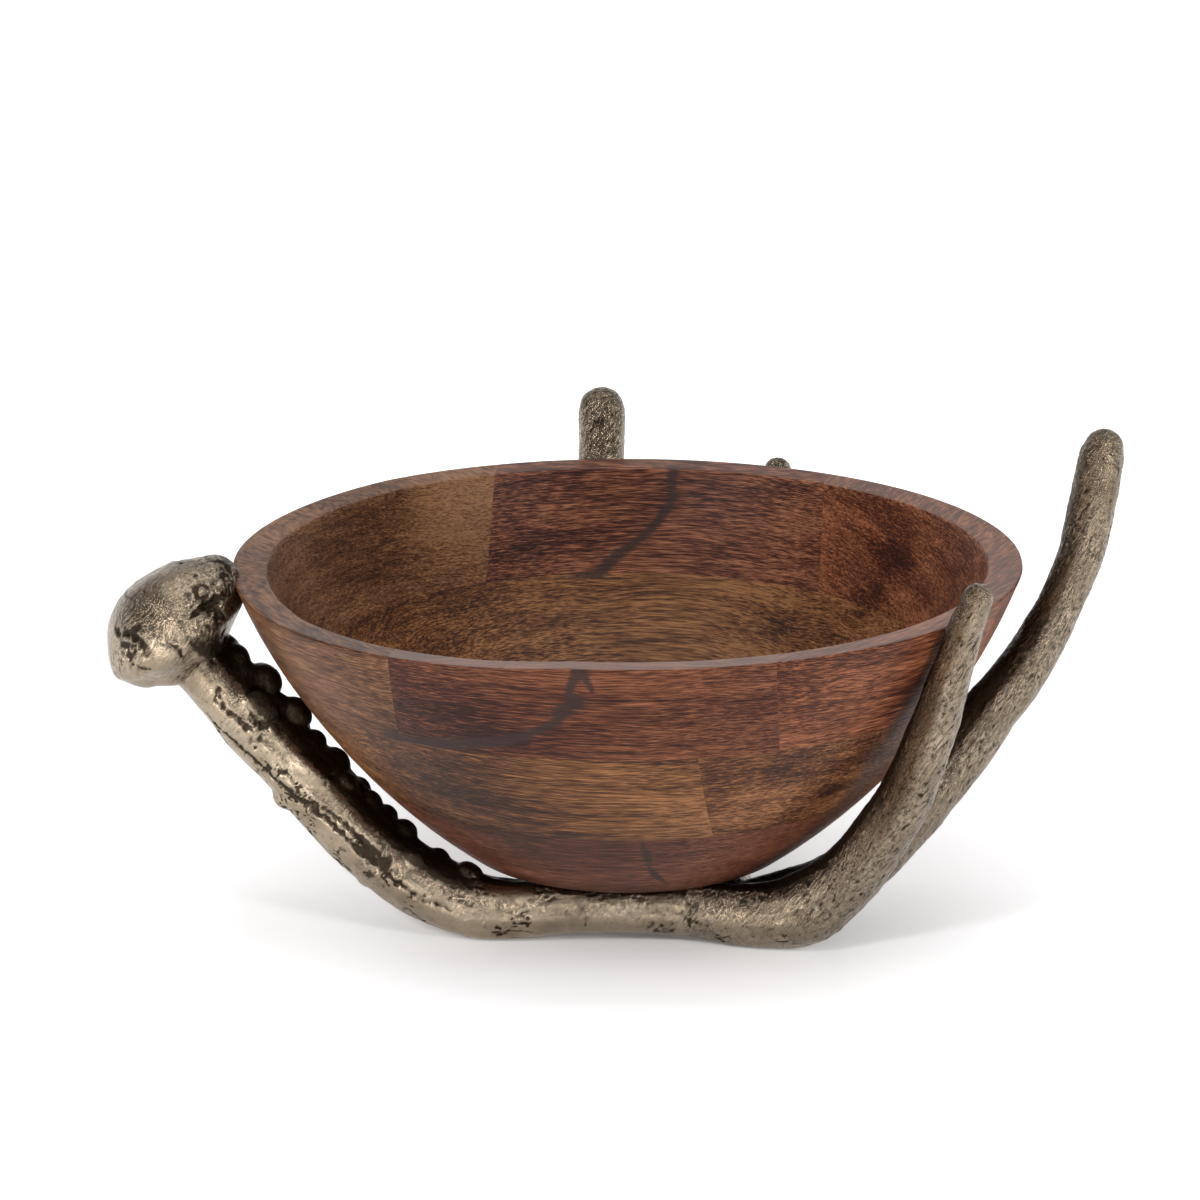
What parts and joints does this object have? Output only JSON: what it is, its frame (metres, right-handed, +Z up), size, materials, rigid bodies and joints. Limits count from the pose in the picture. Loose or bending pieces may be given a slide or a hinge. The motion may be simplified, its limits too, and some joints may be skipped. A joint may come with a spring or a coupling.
{
  "type": "serving bowl on antler stand",
  "caption": "Turned hardwood bowl glued up from blocks, resting in a cast metal stand shaped like a shed antler; the bowl lifts off.",
  "frame": {"origin": "middle of the whole object's footprint box, on the table", "axes": "+Z up; +X from the burr towards the tall right tine; +Y from the front tine towards the back tines"},
  "size_m": [0.4479, 0.3757, 0.2126],
  "materials": {
    "red_brown_wood": "satin oil",
    "mid_brown_wood": "satin oil",
    "golden_brown_wood": "satin oil",
    "plum_brown_wood": "satin oil",
    "cast_metal": "rough cast, brushed on the high spots, dark in the hollows"
  },
  "bodies": {
    "stand": {"burr_beam": "cast_metal", "bridge": "cast_metal", "fork": "cast_metal", "front_tine": "cast_metal", "right_tine": "cast_metal", "back_beam": "cast_metal", "back_tall_tine": "cast_metal", "back_small_tine": "cast_metal"},
    "bowl": {"rim_front_block": "red_brown_wood", "rim_back_block": "red_brown_wood", "rim_left_block": "mid_brown_wood", "rim_right_block": "mid_brown_wood", "wall_left_block": "golden_brown_wood", "wall_right_block": "golden_brown_wood", "base_board": "plum_brown_wood"}
  },
  "joints": [
    {"name": "bowl_lift", "type": "slide", "parent": "stand", "child": "bowl", "axis": [0, 0, 1], "range_m": [0, 0.2]}
  ]
}
